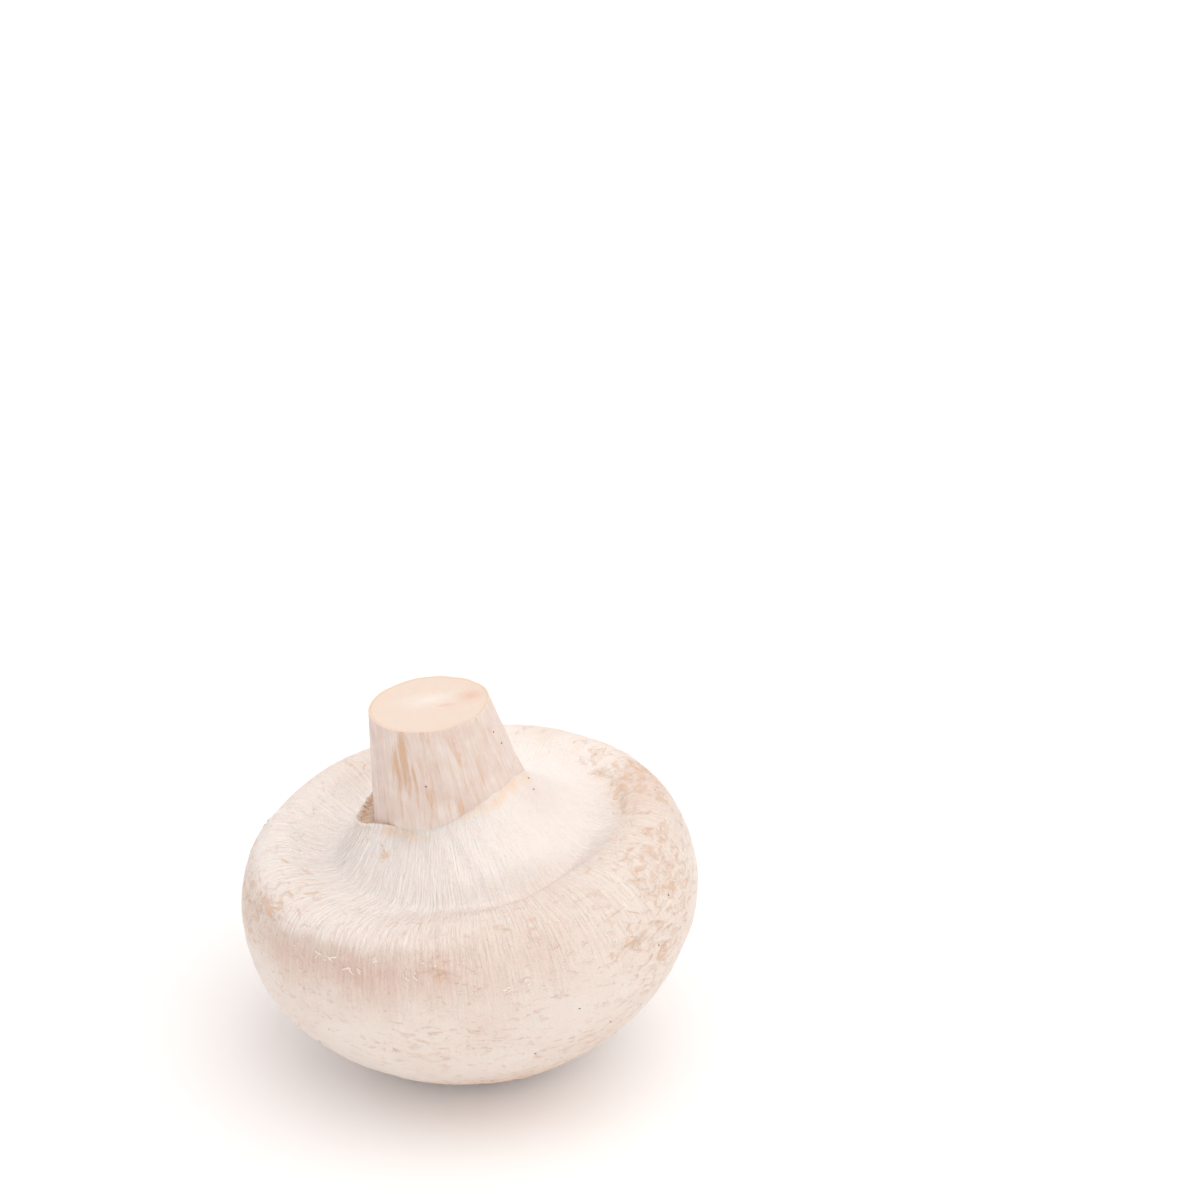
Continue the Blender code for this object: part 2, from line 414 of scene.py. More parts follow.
def rubbed_through(tree, place):
    """How far the skin is rubbed through: ragged dashes, 1.6 mm long and half as high."""
    scuff = node(tree, "ShaderNodeAttribute", attribute_name="scuff").outputs["Fac"]
    dashed = node(tree, "ShaderNodeVectorMath", {0: place, 1: (1.0, 1.0, 2.2)}, operation="MULTIPLY")
    rubbed = node(tree, "ShaderNodeTexNoise", {
        "Vector": dashed.outputs[0], "Scale": lumps_of(1.5625), "Detail": 6.0, "Roughness": 0.68,
        "Distortion": 0.9})
    needed = node(tree, "ShaderNodeMath", {0: scuff, 1: -0.17, 2: 0.69}, operation="MULTIPLY_ADD")
    over = node(tree, "ShaderNodeMath", {
        0: rubbed.outputs["Fac"], 1: needed.outputs[0]}, operation="SUBTRACT")
    ragged = node(tree, "ShaderNodeMapRange", {
        "Value": over.outputs[0], "From Min": -0.03, "From Max": 0.15, "To Max": 0.7})
    return ragged.outputs[0]


def mushroom_skin():
    """The cap's and veil's outer skin: dry and matt, of pressed fibres that run from the crown to the stem.

    It is clean white where the veil kept it covered, and has painted light on the left crest. It is tinged
    pinkish brown where it was handled, and the same tint is partly painted shade on the band below the front
    crest, and painted shade in the crease under the veil's roll and in the hollows between upstanding fibres.
    It is scuffed to tan at its widest and under it.
    """
    material, tree = empty_material("mushroom_skin")
    place = node(tree, "ShaderNodeTexCoord").outputs["Object"]
    stain = node(tree, "ShaderNodeAttribute", attribute_name="stain").outputs["Fac"]
    plush = node(tree, "ShaderNodeAttribute", attribute_name="plush").outputs["Fac"]
    fibres = skin_fibres(tree)
    scuffs = rubbed_through(tree, place)

    # Painted shade: the hollows between the fibres are darkened, more where the fibres stand up.
    shaded_hollows = node(tree, "ShaderNodeMapRange", {
        "Value": fibres, "From Min": 0.52, "From Max": 0.3, "To Max": 0.2})
    seen = node(tree, "ShaderNodeMath", {0: shaded_hollows.outputs[0], 1: plush}, operation="MULTIPLY")
    combed = node(tree, "ShaderNodeMix", {
        0: seen.outputs[0], 6: flushed_and_shaded_skin(tree, place), 7: hex_colour(FLUSH_AND_SHADE)}, data_type="RGBA")
    scuffed = node(tree, "ShaderNodeMix", {
        0: scuffs, 6: combed.outputs[2], 7: hex_colour(TAN)}, data_type="RGBA")
    stained = node(tree, "ShaderNodeMix", {
        0: stain, 6: scuffed.outputs[2], 7: hex_colour(HONEY)}, data_type="RGBA")

    # Relief too fine for the mesh: the fibres, a felt of 0.3 mm and the sunken scuffs
    felt = node(tree, "ShaderNodeTexNoise", {"Vector": place, "Scale": lumps_of(0.286), "Detail": 2.0})
    raised = node(tree, "ShaderNodeMath", {0: fibres, 1: plush}, operation="MULTIPLY")
    felted = node(tree, "ShaderNodeMath", {
        0: felt.outputs["Fac"], 1: 0.25, 2: raised.outputs[0]}, operation="MULTIPLY_ADD")
    sunk = node(tree, "ShaderNodeMath", {
        0: scuffs, 1: -0.35, 2: felted.outputs[0]}, operation="MULTIPLY_ADD")
    bump = node(tree, "ShaderNodeBump", {
        "Height": sunk.outputs[0], "Strength": 0.9, "Distance": FINE_RELIEF})

    shader = node(tree, "ShaderNodeBsdfPrincipled", {
        "Base Color": stained.outputs[2], "Roughness": 0.62, "IOR": FLESH_IOR, "Normal": bump.outputs[0],
        "Subsurface Weight": 0.2, "Subsurface Radius": SCATTER_SHARES, "Subsurface Scale": SCATTER_DEPTH,
        "Sheen Weight": 0.12, "Sheen Roughness": 0.5})
    node(tree, "ShaderNodeOutputMaterial", {"Surface": shader.outputs[0]})
    return material


def stem_bark():
    """The stem's outside: pinkish white, combed with upright fibres, some of them bruised tan and brown.

    The fibres are 0.36 mm wide and 5 mm long, and the bruised streaks about 1 mm wide and 6 mm long.
    """
    material, tree = empty_material("stem_bark")
    grain = node(tree, "ShaderNodeAttribute", attribute_name="grain").outputs["Vector"]
    bruise = node(tree, "ShaderNodeAttribute", attribute_name="bruise").outputs["Fac"]
    combed = node(tree, "ShaderNodeVectorMath", {0: grain, 1: fibres_of(0.357, 5.0)}, operation="MULTIPLY")
    fibres = node(tree, "ShaderNodeTexNoise", {
        "Vector": combed.outputs[0], "Scale": 1.0, "Detail": 5.0, "Roughness": 0.65, "Distortion": 0.7})
    drifts = node(tree, "ShaderNodeTexNoise", {
        "Vector": grain, "Scale": 0.35, "Detail": 4.0, "Roughness": 0.6})
    drifted = node(tree, "ShaderNodeMath", {
        0: fibres.outputs["Fac"], 1: drifts.outputs["Fac"]}, operation="ADD")
    pale = node(tree, "ShaderNodeMapRange", {"Value": drifted.outputs[0], "From Min": 0.8, "From Max": 1.25})
    bark = node(tree, "ShaderNodeMix", {
        0: pale.outputs[0], 6: hex_colour(BARK_SHADE), 7: hex_colour(BARK)}, data_type="RGBA")

    drawn = node(tree, "ShaderNodeVectorMath", {0: grain, 1: fibres_of(0.909, 5.88)}, operation="MULTIPLY")
    streaks = node(tree, "ShaderNodeTexNoise", {
        "Vector": drawn.outputs[0], "Scale": 1.0, "Detail": 4.0, "Roughness": 0.65})
    needed = node(tree, "ShaderNodeMath", {0: bruise, 1: -0.17, 2: 0.66}, operation="MULTIPLY_ADD")
    over = node(tree, "ShaderNodeMath", {
        0: streaks.outputs["Fac"], 1: needed.outputs[0]}, operation="SUBTRACT")
    streaked = node(tree, "ShaderNodeMapRange", {
        "Value": over.outputs[0], "From Min": -0.04, "From Max": 0.12, "To Max": 0.7})
    colour = node(tree, "ShaderNodeMix", {
        0: streaked.outputs[0], 6: bark.outputs[2], 7: hex_colour(BARK_BRUISE)}, data_type="RGBA")

    bump = node(tree, "ShaderNodeBump", {
        "Height": fibres.outputs["Fac"], "Strength": 0.5, "Distance": FINE_RELIEF})
    shader = node(tree, "ShaderNodeBsdfPrincipled", {
        "Base Color": colour.outputs[2], "Roughness": 0.58, "IOR": FLESH_IOR, "Normal": bump.outputs[0],
        "Subsurface Weight": 0.2, "Subsurface Radius": SCATTER_SHARES, "Subsurface Scale": SCATTER_DEPTH})
    node(tree, "ShaderNodeOutputMaterial", {"Surface": shader.outputs[0]})
    return material


def cut_flesh():
    """Flesh sliced by the knife and dried: peach, paler in the pith, rosy where it browned, tan at the rind.

    The tones spread into each other unevenly, over some 2 mm.
    """
    material, tree = empty_material("cut_flesh")
    place = node(tree, "ShaderNodeTexCoord").outputs["Object"]
    pith = node(tree, "ShaderNodeAttribute", attribute_name="pith").outputs["Fac"]
    rosy = node(tree, "ShaderNodeAttribute", attribute_name="rosy").outputs["Fac"]
    rind = node(tree, "ShaderNodeAttribute", attribute_name="rind").outputs["Fac"]
    spread = node(tree, "ShaderNodeTexNoise", {
        "Vector": place, "Scale": lumps_of(2.22), "Detail": 4.0, "Roughness": 0.6})
    uneven = node(tree, "ShaderNodeMapRange", {
        "Value": spread.outputs["Fac"], "From Min": 0.3, "From Max": 0.7, "To Min": 0.5, "To Max": 1.3})
    pithy = node(tree, "ShaderNodeMath", {
        0: pith, 1: uneven.outputs[0]}, operation="MULTIPLY", use_clamp=True)
    flesh = node(tree, "ShaderNodeMix", {
        0: pithy.outputs[0], 6: hex_colour(FLESH), 7: hex_colour(PITH)}, data_type="RGBA")
    browned = node(tree, "ShaderNodeMath", {
        0: rosy, 1: uneven.outputs[0]}, operation="MULTIPLY", use_clamp=True)
    warmed = node(tree, "ShaderNodeMix", {
        0: browned.outputs[0], 6: flesh.outputs[2], 7: hex_colour(ROSY)}, data_type="RGBA")
    edged = node(tree, "ShaderNodeMix", {
        0: rind, 6: warmed.outputs[2], 7: hex_colour(RIND)}, data_type="RGBA")
    bump = node(tree, "ShaderNodeBump", {
        "Height": spread.outputs["Fac"], "Strength": 0.35, "Distance": FINE_RELIEF})
    shader = node(tree, "ShaderNodeBsdfPrincipled", {
        "Base Color": edged.outputs[2], "Roughness": 0.5, "IOR": FLESH_IOR, "Normal": bump.outputs[0],
        "Subsurface Weight": 0.25, "Subsurface Radius": SCATTER_SHARES, "Subsurface Scale": SCATTER_DEPTH})
    node(tree, "ShaderNodeOutputMaterial", {"Surface": shader.outputs[0]})
    return material


def plain(name, code, roughness):
    material, tree = empty_material(name)
    shader = node(tree, "ShaderNodeBsdfPrincipled", {"Base Color": hex_colour(code), "Roughness": roughness})
    node(tree, "ShaderNodeOutputMaterial", {"Surface": shader.outputs[0]})
    return material


# ---------------------------------------------------------------- pieces

# Where the skin is scuffed: azimuth, height, half-widths in degrees and millimetres, and how heavily
SCUFFS = (
    (-163, 6.0, 12, 3.5, 0.75),
    (-150, 9.0, 8, 1.0, 0.7),
    (-20, 6.0, 16, 4.0, 0.8),
    (-33, -1.0, 10, 3.0, 0.8),
    (-42, 3.4, 9, 1.2, 0.7),
    (18, 9.7, 20, 1.4, 0.95),
    (-80, -12.6, 50, 2.2, 0.75),
    (-97, -2.5, 22, 3.0, 0.3),
    (-55, -8.0, 14, 3.0, 0.6),
    (-95, 6.5, 5, 1.0, 0.8),
    (95, 2.0, 30, 5.0, 0.4),
    (150, -4.0, 25, 5.0, 0.45),
)
# Single tan stains: azimuth, radius, height and size in millimetres
STAINS = ((-51, 19.8, 10.1, 0.9), (-134, 11.0, 12.1, 0.8), (-44, 24.5, 3.8, 0.5), (10, 8.0, 16.6, 0.5))
# Folds in the skin: size in millimetres, azimuth, height, half-length in degrees, width in millimetres, slant
FOLDS = (
    (0.22, -42, 3.5, 8, 0.7, -0.11),  # the long wrinkle at the front right
    (0.07, -125, 6.9, 6, 0.35, 0.03),  # edges of peeled skin on the flushed band
    (0.07, -131, 4.7, 4, 0.35, 0.0),
    (0.07, -113, 7.0, 5, 0.35, -0.12),
    (0.10, -76, 3.25, 6, 0.28, -0.03),  # the crack at the front
    (0.12, -95, 6.4, 4, 0.4, -0.05),  # the dent beside the band
)
# Bruises on the stem: azimuth and height, with half-widths in degrees and millimetres, and strength
BRUISES = ((-118, 21.8, 9, 4.0, 1.6), (-78, 20, 20, 6, 0.5), (-140, 13.0, 16, 1.5, 0.8))
# Pleats of the veil at the front: size in millimetres, azimuth and half-width in degrees
PLEATS = ((0.14, -91, 4), (0.16, -77, 4.5), (-0.12, -84, 3), (-0.12, -70, 4))


def spot(azimuth, height, place):
    """A soft spot on the skin at a place of azimuth, height and their half-widths."""
    centre, level, width, depth = place
    return np.exp(-((turn_from(azimuth, centre) / width) ** 2) - ((height - level) / depth) ** 2)


def fold(azimuth, height, centre, level, length, width, slant):
    """-1 to 1 across a crease that runs round the skin: a raised side above and a hollow below."""
    off = turn_from(azimuth, centre)
    across = (height - level - slant * off) / width
    return np.exp(-((off / length) ** 2)) * across * np.exp(0.5 - across**2) * 1.2


def pleated(azimuth, radius):
    """The veil's pleats, which lean to one side as they run out."""
    lean = np.radians(2.5 * (radius - 11))
    across = sum(bump_round(azimuth - lean, *pleat) for pleat in PLEATS)
    return across * np.exp(-(((radius - 11.2) / 2.2) ** 2))


def relief(rings, azimuth):
    """How far the skin stands out from the smooth shape, in millimetres."""
    radius = np.hypot(rings[..., 0], rings[..., 1])
    height = rings[..., 2]
    lumps = 0.24 * rough(rings, 14, 2) + 0.08 * rough(rings, 4.5, 3, 7.0)
    hollow = -0.35 * spot(azimuth, height, (-118, 5.6, 24, 1.9))
    bruised = spot(azimuth, height, (16, 9.7, 22, 1.5)) * ease(radius, 15, 19)
    bruised += 0.5 * spot(azimuth, height, (-160, 7.5, 14, 2.5))
    crinkles = rough(rings, 1.6, 3, 11.0) * (0.02 + 0.11 * bruised)
    folds = sum(size * fold(azimuth, height, *place) for size, *place in FOLDS)
    drawn = np.stack([np.cos(azimuth) * 22, np.sin(azimuth) * 22, radius * 0.35], -1)
    combed = rough(drawn, 1.6, 2, 5.0)
    torn_fibres = 0.2 * combed * tent_round(azimuth, 195, 60, 65)
    under_veil = 1 - ease(radius, 13.5, 16)
    veiled = under_veil * (pleated(azimuth, radius) + torn_fibres)
    return lumps + hollow + crinkles + folds + veiled + 0.03 * combed


def silky_and_crest_lit(azimuth, radius, height, drift):
    """1 on the veil and down in the groove, where nothing has touched the skin.

    On the left crest it is painted light that whitens the crest.
    """
    reach = 5.0 * bump_round(azimuth, 1.0, 55, 60) + 1.6 * bump_round(azimuth, 1.0, -170, 60)
    veiled = 1 - ease(radius + 2 * drift - reach, 13.0, 17.5)
    # Painted light: the left crest is whitened towards the veil's colour.
    crest = 0.95 * ease(height + 0.9 * drift, 8.0, 9.4) * bump_round(azimuth, 1.0, -160, 70)
    return np.clip(veiled + crest, 0, 1)


def flushed_and_shaded(azimuth, radius, height, drift, silk_and_crest_light):
    """The pinkish tint, partly real and partly painted shade: a band round the front below the crest,
    where the side turns away from the light, fainter at the far crest and on the veil's right, and
    painted shadow in the crease under the veil's roll.
    """
    # Partly painted shade: the band darkens the side below the front crest, which turns away from the light.
    band = 0.9 * spot(azimuth, height + 0.7 * drift, (-121, 5.9, 40, 2.9))
    front = 0.22 * spot(azimuth, height + drift, (-68, 7.0, 30, 3.5))
    all_over = 0.1 + 0.25 * drift
    far_crest = 0.5 * spot(azimuth, height, (14, 9.5, 18, 1.5))
    cap_flush_and_shade = band + front + all_over + far_crest
    flush_and_shade = np.clip(np.where(radius > 15, cap_flush_and_shade, 0.15 + 0.2 * drift), 0, 1) * (1 - 0.8 * silk_and_crest_light)
    # Painted shadow in the crease under the veil's roll at the front right.
    flush_and_shade += 0.6 * np.exp(-(((radius - 15.2) / 1.5) ** 2)) * bump_round(azimuth, 1.0, -66, 32)
    return flush_and_shade + 0.25 * spot(azimuth, height, (-14, 14.3, 22, 2.4)) * (1 - ease(radius, 12.5, 14))


def stained(rings, azimuth, scuff):
    """Tan round the scuffs, low down at the front and in single stains."""
    stain = 0.14 * scuff + 0.3 * spot(azimuth, rings[..., 2], (-80, -12.8, 45, 1.9))
    for centre, away, level, size in STAINS:
        apart = np.linalg.norm(rings - polar(math.radians(centre), away, level), axis=-1)
        stain += 0.8 * (1 - ease(apart + 0.4 * size * rough(rings, size, 2, 31.0), 0.3 * size, size))
    return stain


def upstanding(azimuth, radius, height, drift):
    """How much the fibres stand up: most on the left crest, least on the veil's right and the far crest."""
    plush = 0.3 + 0.7 * ease(height + drift, -1, 7) + 0.45 * spot(azimuth, height, (-135, 8.9, 42, 1.8))
    plush = plush * (1 - 0.6 * bump_round(azimuth, 1.0, -35, 50) * (1 - ease(radius, 13, 15)))
    return plush * (1 - 0.65 * bump_round(azimuth, 1.0, 60, 60) * ease(height, 7, 9))


def paint(rings, azimuth):
    """Where the skin is silky white, flushed, scuffed, stained and plush, for its material."""
    radius = np.hypot(rings[..., 0], rings[..., 1])
    height = rings[..., 2]
    drift = rough(rings, 7, 3, 21.0)
    silk_and_crest_light = silky_and_crest_lit(azimuth, radius, height, drift)
    flush_and_shade = flushed_and_shaded(azimuth, radius, height, drift, silk_and_crest_light)
    silk_and_crest_light = silk_and_crest_light * (1 - 0.65 * bump_round(azimuth, 1.0, -15, 60))
    silk_and_crest_light = silk_and_crest_light * (1 - 0.7 * spot(azimuth, height, (-120, 13.8, 16, 1.0)) * (1 - ease(radius, 9.5, 11)))
    scuff = 0.45 + sum(share * spot(azimuth, height, place) for *place, share in SCUFFS)
    outside_groove = ease(radius - np.minimum(height, 0), 15.5, 18)
    scuff = np.clip(scuff * outside_groove, 0, 1.2)
    stain = stained(rings, azimuth, scuff)
    plush = upstanding(azimuth, radius, height, drift)
    return {"silk_and_crest_light": silk_and_crest_light, "flush_and_shade": flush_and_shade, "scuff": scuff, "stain": stain, "plush": plush}


def outside():
    """The mushroom's whole skin from crown to veil edge, as rings of points, with its marks."""
    azimuths = turns(AROUND)
    rings = np.concatenate([
        rings_of(crown, azimuths, np.linspace(0.03, 1, CROWN_RINGS) ** 0.8 * QUARTER),
        rings_of(rim, azimuths, np.linspace(0, QUARTER, RIM_RINGS + 1)[1:]),
        rings_of(lip, azimuths, np.linspace(0, 1, LIP_RINGS + 1)[1:]),
        rings_of(veil, azimuths, np.linspace(0, 1, VEIL_RINGS + 1)[1:]),
    ])
    azimuth = np.broadcast_to(azimuths, rings.shape[:2])
    marks = paint(rings, azimuth)
    marks["grain"] = along_skin(rings)
    ring = np.arange(len(rings))[:, None]
    yellowed = ease(ring, VEIL_START + VEIL_RINGS * 0.8, len(rings) - 4)
    yellowed = yellowed * (1 - 0.8 * torn(azimuth)) * (0.6 + 0.9 * rough(rings, 2.0, 2, 41.0)).clip(0)
    marks["stain"] = marks["stain"] + 0.8 * yellowed
    near_stem = ease(ring, VEIL_START + VEIL_RINGS * 0.75, len(rings) - 1)
    hem = 0.4 * torn(azimuth) * np.exp(-(((ring - len(rings) + 2) / 2.5) ** 2))
    raised = relief(rings, azimuth) * (1 - near_stem) + hem
    return rings + facing(rings) * raised[..., None], marks


def cap_piece(material, surface, marks):
    """The cap: the outside as far as the groove, then under the veil to the stem's socket."""
    azimuths = turns(AROUND)
    seen = surface[:VEIL_START].copy()
    lip_shares = np.linspace(0, 1, LIP_RINGS + 1)[1:]
    seen[LIP_START:, :, 2] -= LIP_DIVE * ease(lip_shares, JOIN, 1.2)[:, None]
    ledge = rings_of(veil, azimuths, np.linspace(0, 1, 8))
    ledge[..., 2] -= LEDGE_DEPTH
    mouth = ledge[-1, :, 2]
    depth = SOCKET_FLOOR - mouth
    socket = [stem_skin(azimuths, mouth + depth * share, SOCKET_CLEARANCE) for share in (0, 0.5, 1)]
    rings = np.concatenate([seen, ledge, np.stack(socket)])
    hidden = len(rings) - VEIL_START
    kept = {}
    for key, value in marks.items():
        last = value[VEIL_START - 1 : VEIL_START]
        kept[key] = np.concatenate([value[:VEIL_START], np.repeat(last, hidden, 0)])
    return skin("cap_skin", rings, [material], kept)


def veil_piece(material, surface, marks):
    """The veil: a hem that comes out of the cap's lip, the film to its edge, a lining and an underside."""
    azimuths = turns(AROUND)
    first = 3  # the lip's ring where the hem starts, still inside the cap
    start = LIP_START + first
    top = surface[start:].copy()
    lip_shares = np.linspace(0, 1, LIP_RINGS + 1)[first + 1 :]
    inside_cap = 1 - ease(lip_shares, JOIN - 0.15, JOIN + 0.15)
    top[: len(lip_shares), :, 2] -= 0.02 * inside_cap[:, None]
    lining = np.stack([veil_edge(azimuths, lower, inner) for lower, inner in LINING])
    under = top.copy()
    under[..., 2] -= np.linspace(HEM_THICKNESS, VEIL_THICKNESS, len(top))[:, None]
    rings = np.concatenate([top, lining, under[::-3]])
    kept = {}
    for key, value in marks.items():
        above = value[start:]
        kept[key] = np.concatenate([above, np.repeat(above[-1:], len(lining), 0), above[::-3]])
    kept["stain"][len(top) : len(top) + len(lining)] = LINING_STAIN
    return skin("veil_film", rings, [material], kept, endless=True)


def cut_height(azimuth):
    """How high the knife's plane meets the stem's skin."""
    middle = np.array([-(CUT_HEIGHT - STEM_START_HEIGHT) * math.tan(STEM_LEAN), 0, CUT_HEIGHT])
    height = np.full_like(azimuth, CUT_HEIGHT)
    for _ in range(6):
        out = stem_skin(azimuth, height) - middle
        height = CUT_HEIGHT - out[..., 0] * math.tan(CUT_LEAN_X) - out[..., 1] * math.tan(CUT_LEAN_Y)
    return height


def stem_sides(azimuths):
    """Rings from the stem's foot in the socket up to the cut, ribbed, and swollen where the veil clings."""
    rise = cut_height(azimuths) - STEM_FOOT
    shares = np.linspace(0, 1, STEM_RINGS)
    sides = np.stack([stem_skin(azimuths, STEM_FOOT + rise * share) for share in shares])
    height = sides[..., 2]
    azimuth = np.broadcast_to(azimuths, height.shape)
    drawn = np.stack([np.cos(azimuth) * 7.5, np.sin(azimuth) * 7.5, height * 0.12], -1)
    ribs = 0.04 * rough(drawn, 1.1, 2, 3.0) + 0.13 * rough(drawn, 4, 2, 9.0)
    knobs = 0.04 * rough(sides, 2.0, 2, 19.0)
    above_veil = height - veil_edge(azimuths)[..., 2]
    swell = 0.14 * np.exp(-((above_veil / 1.4) ** 2)) * (1 - torn(azimuths))
    return sides + facing(sides) * (ribs + knobs + swell)[..., None]


def cut_face(edge):
    """Rings from the cut's edge to its middle, sunk and scored by the knife, and the tones of the flesh."""
    middle = edge.mean(0)
    share = np.linspace(1, 0.03, CUT_RINGS + 1)[1:, None]
    face = middle + (edge - middle) * share[..., None]
    x = face[..., 0] - middle[0]
    y = face[..., 1] - middle[1]
    sunk = -0.15 * (1 - share**4) + 0.07 * rough(face, 1.8, 3, 13.0) * (1 - share**8)
    knife_marks = 0.05 * np.sin(y * 9 + 2 * np.sin(x * 1.3))
    knife_marks = knife_marks * np.exp(-(((x - 1.6) / 1.4) ** 2) - ((y + 0.6) / 0.6) ** 2)
    face[..., 2] += sunk + knife_marks
    rosy = 0.8 * np.exp(-(((x - 4.4) / 1.3) ** 2) - ((y - 1.4) / 1.2) ** 2)
    rosy += 0.6 * np.exp(-(((x - 1.9) / 0.9) ** 2) - ((y + 0.2) / 0.4) ** 2)
    tones = {
        "pith": np.exp(-(((x - 0.1) / 2.8) ** 2) - ((y - 1.3 - 0.12 * x) / 1.5) ** 2),
        "rosy": rosy,
        "rind": 0.7 * ease(share, 0.93, 1) * (1 + 0.3 * rough(face, 3, 2, 17.0)),
    }
    return face, tones


def stem_piece(bark, flesh):
    """The stem from its foot in the socket to the knife's cut, and the cut face."""
    azimuths = turns(STEM_AROUND)
    sides = stem_sides(azimuths)
    face, tones = cut_face(sides[-1])
    height = sides[..., 2]
    azimuth = np.broadcast_to(azimuths, height.shape)
    bruise = 0.3 + sum(share * spot(azimuth, height, place) for *place, share in BRUISES)
    rings = np.concatenate([sides, face])
    marks = {"grain": along_skin(rings, 8.0), "bruise": np.concatenate([bruise, np.zeros(face.shape[:2])])}
    for key, tone in tones.items():
        marks[key] = np.concatenate([np.zeros(height.shape), tone])
    bands = [0] * (len(sides) - 1) + [1] * len(face)
    return skin("stem_flesh", rings, [bark, flesh], marks, bands=bands)


# Clusters of loose flakes of skin: azimuth, height, length in millimetres and slant in degrees
FLAKES = (
    (-132, 4.7, 2.0, 2), (-126, 7.0, 2.4, -6), (-122, 7.0, 1.6, 14), (-118, 6.5, 1.8, -34),
    (-112, 7.5, 1.6, -22), (-103, 5.8, 1.1, -40), (-99, 7.0, 0.7, -10), (-136, 7.6, 0.8, 20),
    (-43, 3.9, 1.8, 8), (-78, 3.4, 1.9, 6), (-74, 3.3, 1.3, 3), (174, 8.6, 1.6, 20), (163, 8.9, 1.2, -25),
    (12, 9.2, 1.5, 30), (-2, 8.6, 1.3, -20), (-88, -12.0, 1.4, 50), (-150, 12.7, 1.8, 6),
    (-139, 12.6, 2.0, -3), (-128, 12.3, 1.6, -8), (-143, 11.9, 1.3, 12), (-136, 11.4, 1.2, 20),
)
FLAKE_WIDTH = 0.26
SLIVERS = 70
SLIVER_WIDTH = 0.13

# Grains of casing soil: azimuth and height
GRIT = (
    (-61, -1.1), (-50, -5.8), (-73, -6.4), (-24, 4.6), (-34, 1.0), (110, 3.0), (150, -2.0), (60, -4.0),
    (-106, 19.7), (-18, 20.9), (-25, 22.7), (-4, 15.4), (-12, 14.7),
)


def skin_tree(pieces):
    """The pieces' skins as one tree, to find where a flake or grain lies."""
    points = []
    faces = []
    for piece in pieces:
        faces += [[len(points) + i for i in face.vertices] for face in piece.data.polygons]
        points += [vertex.co.copy() for vertex in piece.data.vertices]
    return BVHTree.FromPolygons(points, faces)


def on_skin(tree, azimuth, height):
    """The skin's point and normal on the table, for an azimuth and height of the cap's frame."""
    outer = Vector(on_table(polar(math.radians(azimuth), 40.0, height)))
    inner = Vector(on_table(polar(math.radians(azimuth), 0.0, height)))
    place, normal, _, _ = tree.ray_cast(outer, inner - outer)
    return place, normal


def ribbon(place, normal, length, slant, width, chance):
    """Rings of four points along a frayed sliver of skin, with one edge lifted, in metres."""
    side = Vector((0, 0, 1)).cross(normal).normalized()
    up = normal.cross(side)
    along = side * math.cos(slant) + up * math.sin(slant)
    across = normal.cross(along)
    rings = []
    for share in np.linspace(-1, 1, 12):
        taper = (1 - 0.85 * abs(share) ** 2.5) * chance.uniform(0.35, 1.1)
        middle = place + (along * share * length / 2 + across * chance.normal(0, 0.05)) * MM
        middle += normal * (0.02 - 0.12 * share * share) * MM
        half = across * width / 2 * taper * MM
        lift = normal * 0.09 * taper * MM
        rings.append([middle - half, middle + half + lift, middle + half + lift - normal * 0.05 * MM,
                      middle - half - normal * 0.05 * MM])
    return rings


def scraps(name, tubes, material):
    """One mesh of closed tubes, each given as rings of as many points."""
    points = []
    faces = []
    for rings in tubes:
        start = len(points)
        around = len(rings[0])
        points += [point for ring in rings for point in ring]
        for i in range(len(rings) - 1):
            for j in range(around):
                a = start + i * around + j
                b = start + i * around + (j + 1) % around
                faces.append((a, b, b + around, a + around))
        faces.append(tuple(range(start, start + around)))
        faces.append(tuple(reversed(range(len(points) - around, len(points)))))
    mesh = bpy.data.meshes.new(name)
    mesh.from_pydata([tuple(point) for point in points], [], faces)
    return shown(name, mesh, [material])


def flakes_piece(tree, material):
    """Three flakes at each cluster, and slivers strewn all over the cap."""
    chance = np.random.default_rng(4)
    places = []
    for azimuth, height, length, slant in FLAKES:
        for _ in range(3):
            off = chance.normal(0, (1.5, 0.3, 0.25))
            places.append((azimuth + off[0], height + off[1], length * chance.uniform(0.3, 0.9),
                           math.radians(slant) + off[2], FLAKE_WIDTH))
    for _ in range(SLIVERS):
        azimuth = chance.uniform(-180, 180)
        height = chance.uniform(-9, 9)
        places.append((azimuth, height, chance.uniform(0.4, 1.4), chance.uniform(-1.2, 1.2), SLIVER_WIDTH))
    ribbons = [ribbon(*on_skin(tree, azimuth, height), length, slant, width, chance)
               for azimuth, height, length, slant, width in places]
    return scraps("skin_flakes", ribbons, material)


def grit_piece(tree, material):
    """Squashed grains a quarter of a millimetre across, pressed into the skin."""
    outline = ((-0.06, 0.07), (-0.02, 0.12), (0.03, 0.11), (0.06, 0.05))  # height over the skin, and radius
    tubes = []
    for azimuth, height in GRIT:
        place, normal = on_skin(tree, azimuth, height)
        side = Vector((0, 0, 1)).cross(normal).normalized()
        up = normal.cross(side)
        rings = []
        for level, radius in outline:
            spokes = [side * math.cos(turn) + up * 0.8 * math.sin(turn) for turn in turns(8)]
            rings.append([place + (normal * level + spoke * radius) * MM for spoke in spokes])
        tubes.append(rings)
    return scraps("casing_grit", tubes, material)


# ---------------------------------------------------------------- stage

VIEW_ELEVATION = math.radians(29)
VIEW_DISTANCE = 0.548
VIEW_LENS = 150.0
MUSHROOM_LEFT = 14.04  # how far left of the view's middle the cap's middle lies, in millimetres
MUSHROOM_LOW = 33.17  # and how far below it

TABLE_REACH = 3.0
ROOM_COLOUR = (1, 0.972, 0.968, 1)
ROOM_STRENGTH = 0.865
SOFTBOX_PLACE = (0.2, -0.12, 0.74)
SOFTBOX_SIZE = 1.0
SOFTBOX_POWER = 3.3
SOFTBOX_COLOUR = (1, 0.98, 0.94)


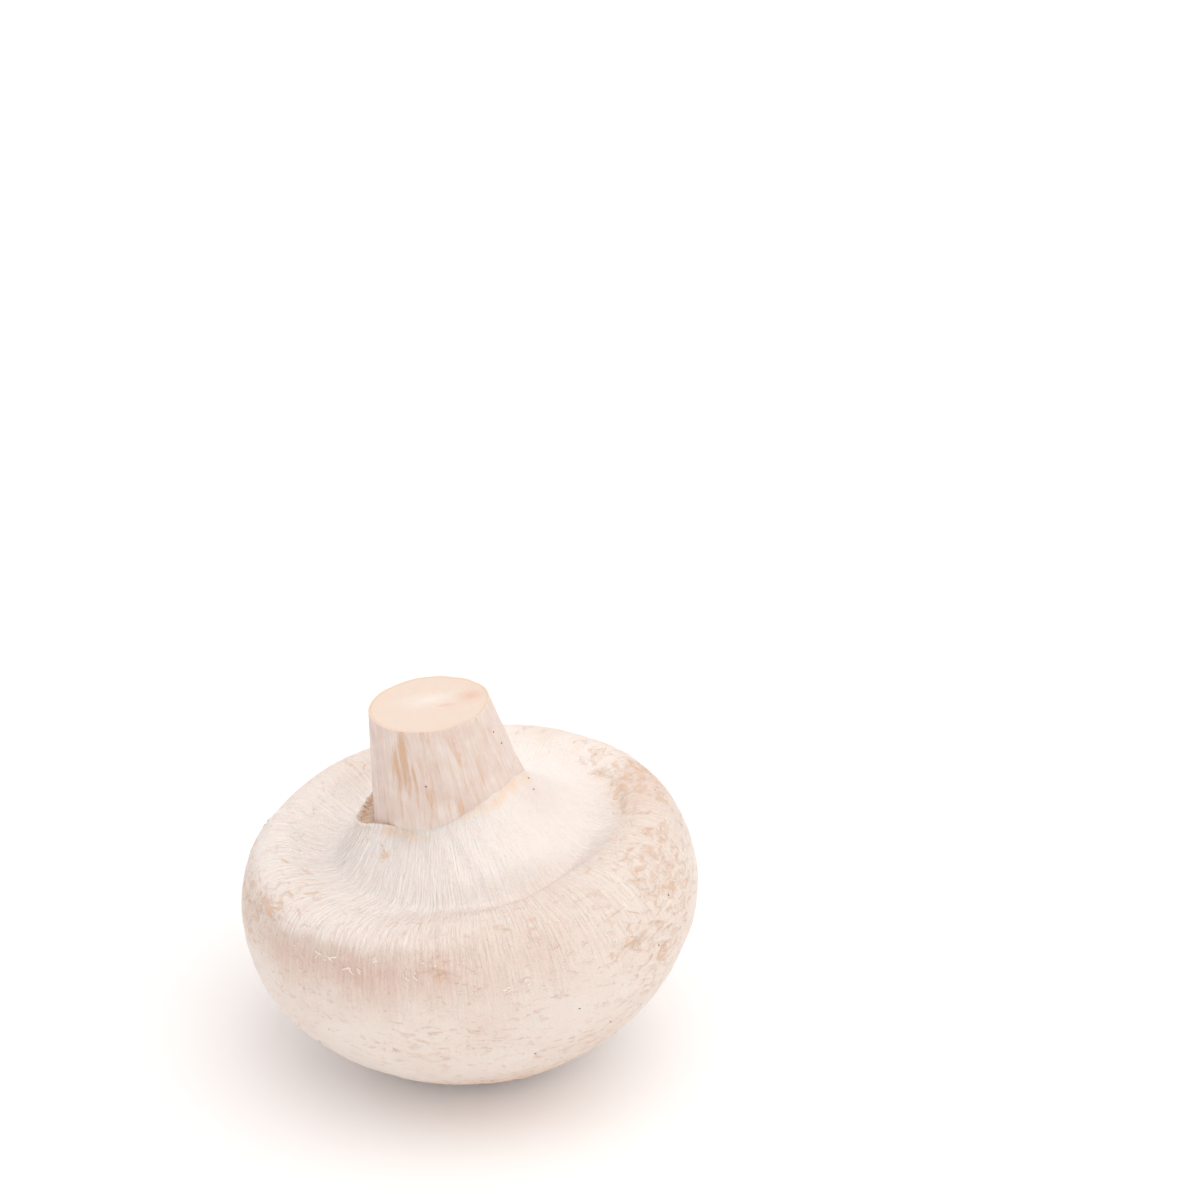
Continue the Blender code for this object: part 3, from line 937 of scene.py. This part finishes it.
def camera():
    """Looks down at the table from the front, with the mushroom in the lower left of the view."""
    right = Vector((1, 0, 0))
    up = Vector((0, math.sin(VIEW_ELEVATION), math.cos(VIEW_ELEVATION)))
    back = right.cross(up)
    made = bpy.data.objects.new("camera", bpy.data.cameras.new("camera"))
    made.data.lens = VIEW_LENS
    made.data.sensor_width = 36.0
    made.data.clip_start = 0.01
    aim = (Vector(CAP_MIDDLE) + right * MUSHROOM_LEFT + up * MUSHROOM_LOW) * MM
    made.location = aim + back * VIEW_DISTANCE
    made.rotation_euler = (QUARTER - VIEW_ELEVATION, 0, 0)
    bpy.context.scene.collection.objects.link(made)
    bpy.context.scene.camera = made


def softbox():
    """A square metre of soft light above the front right, aimed at the mushroom's foot."""
    data = bpy.data.lights.new("softbox", "AREA")
    data.shape = "SQUARE"
    data.size = SOFTBOX_SIZE
    data.energy = SOFTBOX_POWER
    data.color = SOFTBOX_COLOUR
    made = bpy.data.objects.new("softbox", data)
    made.location = SOFTBOX_PLACE
    made.rotation_euler = (-Vector(SOFTBOX_PLACE)).to_track_quat("-Z", "Y").to_euler()
    bpy.context.scene.collection.objects.link(made)


def table():
    corners = [(x * TABLE_REACH, y * TABLE_REACH, 0) for x, y in ((-1, -1), (1, -1), (1, 1), (-1, 1))]
    mesh = bpy.data.meshes.new("table")
    mesh.from_pydata(corners, [], [(0, 1, 2, 3)])
    mesh.materials.append(plain("white_board", "#fbfafa", 0.7))
    made = bpy.data.objects.new("table", mesh)
    bpy.context.scene.collection.objects.link(made)


def room():
    """A pale room all round, shown without a film look."""
    bpy.context.scene.view_settings.view_transform = "Standard"
    world = bpy.data.worlds.new("room")
    world.use_nodes = True
    background = world.node_tree.nodes["Background"]
    background.inputs["Color"].default_value = ROOM_COLOUR
    background.inputs["Strength"].default_value = ROOM_STRENGTH
    bpy.context.scene.world = world


def main():
    camera()
    room()
    table()
    softbox()
    skin_material = mushroom_skin()
    surface, marks = outside()
    cap = cap_piece(skin_material, surface, marks)
    film = veil_piece(skin_material, surface, marks)
    stem = stem_piece(stem_bark(), cut_flesh())
    tree = skin_tree((cap, film, stem))
    flakes = flakes_piece(tree, plain("loose_skin", "#f1e5db", 0.6))
    grit = grit_piece(tree, plain("casing_soil", "#8a5f4a", 0.9))
    for piece, slot in ((cap, "cap_skin"), (flakes, "cap_skin"), (grit, "cap_skin"), (film, "veil_film"),
                        (stem, "stem_flesh")):
        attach(piece, "root")
    for piece, cad_node in ((cap, "cap"), (film, "veil"), (stem, "stem")):
        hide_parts(cad_node)


main()
